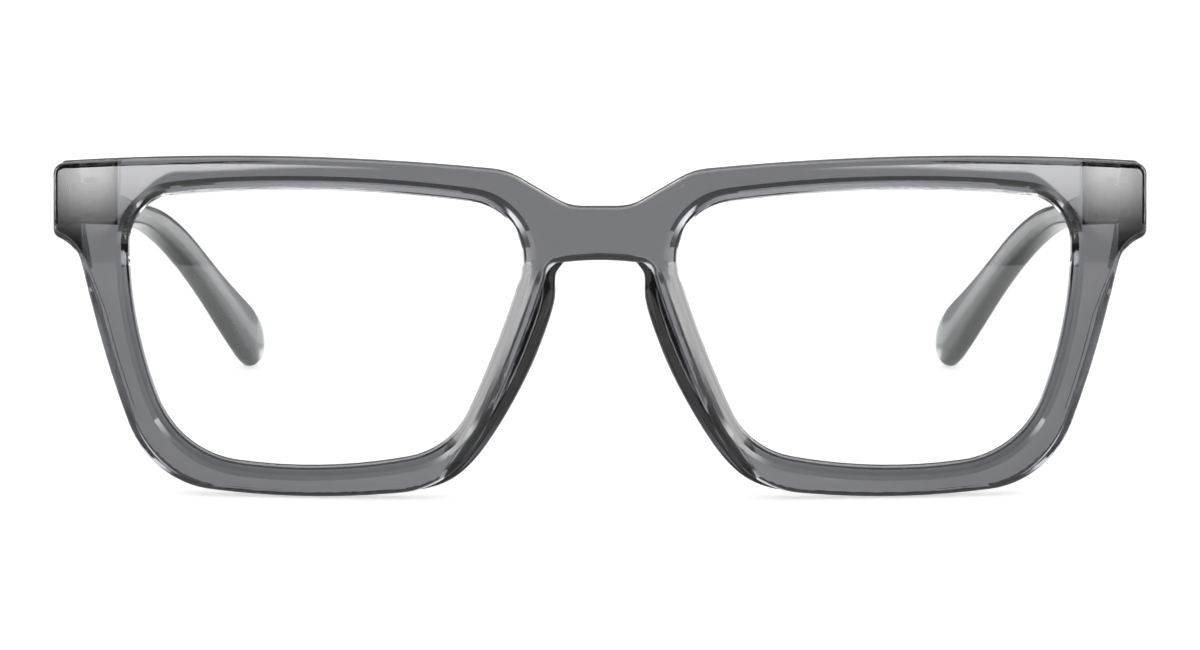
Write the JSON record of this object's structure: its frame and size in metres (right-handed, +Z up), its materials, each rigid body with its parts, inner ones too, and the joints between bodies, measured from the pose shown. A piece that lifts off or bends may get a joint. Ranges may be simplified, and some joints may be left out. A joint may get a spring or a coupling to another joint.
{
  "type": "square eyeglasses",
  "caption": "Square full-rim eyeglasses in translucent grey acetate, with clear lenses, saddle bridge, nose pads, folding temples and sunk barrel hinges",
  "frame": {"origin": "on the floor, under the middle of the open glasses, which rest on the rims' lower edges and on both temple tips", "axes": "X runs across the face to the wearer's left, -Y is the way the lenses face, the open temples run back along +Y, Z is up"},
  "size_m": [0.1404, 0.15, 0.0434],
  "materials": {
    "frame": "polished translucent cool grey",
    "pad": "polished translucent cool grey",
    "temple": "polished translucent cool grey",
    "lens": "clear polished, bevelled edge",
    "hinge": "satin",
    "screw": "polished"
  },
  "bodies": {
    "front": {"front_frame": "frame", "lens_left": "lens", "lens_right": "lens", "nose_pad_left": "pad", "nose_pad_right": "pad", "front_leaf_left": "hinge", "front_leaf_right": "hinge", "hinge_screw_left": "screw", "hinge_screw_right": "screw"},
    "temple_left_body": {"temple_left": "temple", "temple_leaf_left": "hinge"},
    "temple_right_body": {"temple_right": "temple", "temple_leaf_right": "hinge"}
  },
  "joints": [
    {"name": "fold_left", "type": "hinge", "parent": "front", "child": "temple_left_body", "pos_m": [0.0648, -0.0576, 0.03683], "axis": [0, 0, 1], "range_deg": [0, 88]},
    {"name": "fold_right", "type": "hinge", "parent": "front", "child": "temple_right_body", "pos_m": [-0.0648, -0.0576, 0.03683], "axis": [0, 0, -1], "range_deg": [0, 79]}
  ]
}
